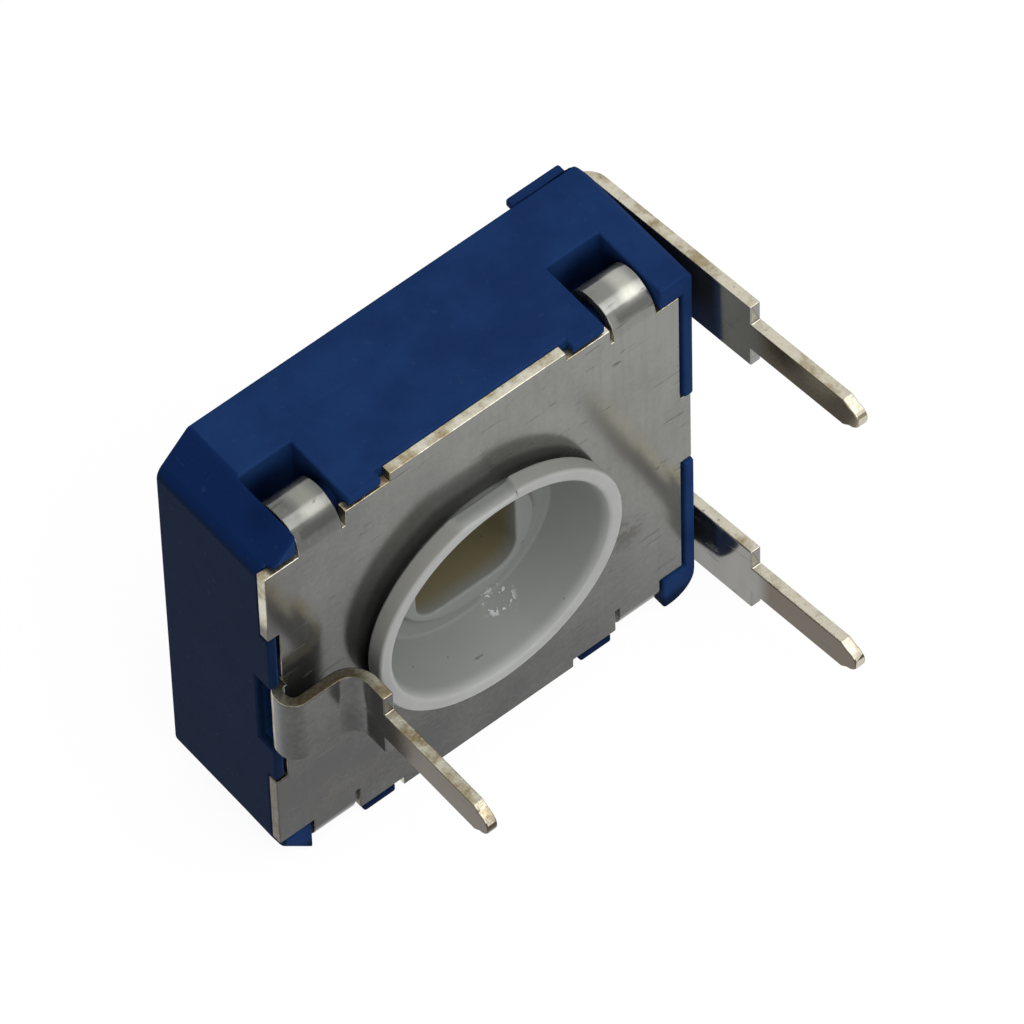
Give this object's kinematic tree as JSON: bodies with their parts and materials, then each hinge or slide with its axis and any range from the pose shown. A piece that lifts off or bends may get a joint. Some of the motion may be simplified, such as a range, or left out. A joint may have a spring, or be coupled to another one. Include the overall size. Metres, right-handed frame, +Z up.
{
  "type": "trimmer potentiometer",
  "caption": "Square single-turn trimmer potentiometer with a moulded housing, a hooked sheet cover, a dished rotor with a driver socket and flat solder pins.",
  "frame": {"origin": "the middle of the outer face of the lower side wall, which the part stands on as pictured", "axes": "+Z up, out of the upper side wall; +Y from the cover plate into the housing, out of its back; +X along the cover plate, towards the side of the end terminals"},
  "size_m": [0.0137, 0.0098, 0.013],
  "materials": {
    "housing_plastic": "satin dark blue moulding",
    "cover_sheet": "bright tinned sheet with fine scuffs and yellowish cut edges",
    "rotor_plastic": "translucent white moulding",
    "spring_sheet": "plain spring bronze",
    "board": "plain resin-bonded paper",
    "carbon_film": "matt black film",
    "silver_film": "dull silver film",
    "terminal_sheet": "bright tinned sheet with yellowish cut edges",
    "rivet_metal": "tinned brass"
  },
  "bodies": {
    "base": {"housing": "housing_plastic", "cover_plate": "cover_sheet", "track_board": "board", "carbon_track": "carbon_film", "end_pad_upper": "silver_film", "end_pad_lower": "silver_film", "terminal_upper": "terminal_sheet", "terminal_lower": "terminal_sheet", "rivet_upper": "rivet_metal", "rivet_lower": "rivet_metal"},
    "rotor": {"rotor": "rotor_plastic", "wiper": "spring_sheet"}
  },
  "joints": [
    {"name": "rotor_turn", "type": "hinge", "parent": "base", "child": "rotor", "pos_m": [0, 0, 0.0065], "axis": [0, 1, 0], "range_deg": [-125, 125]}
  ]
}
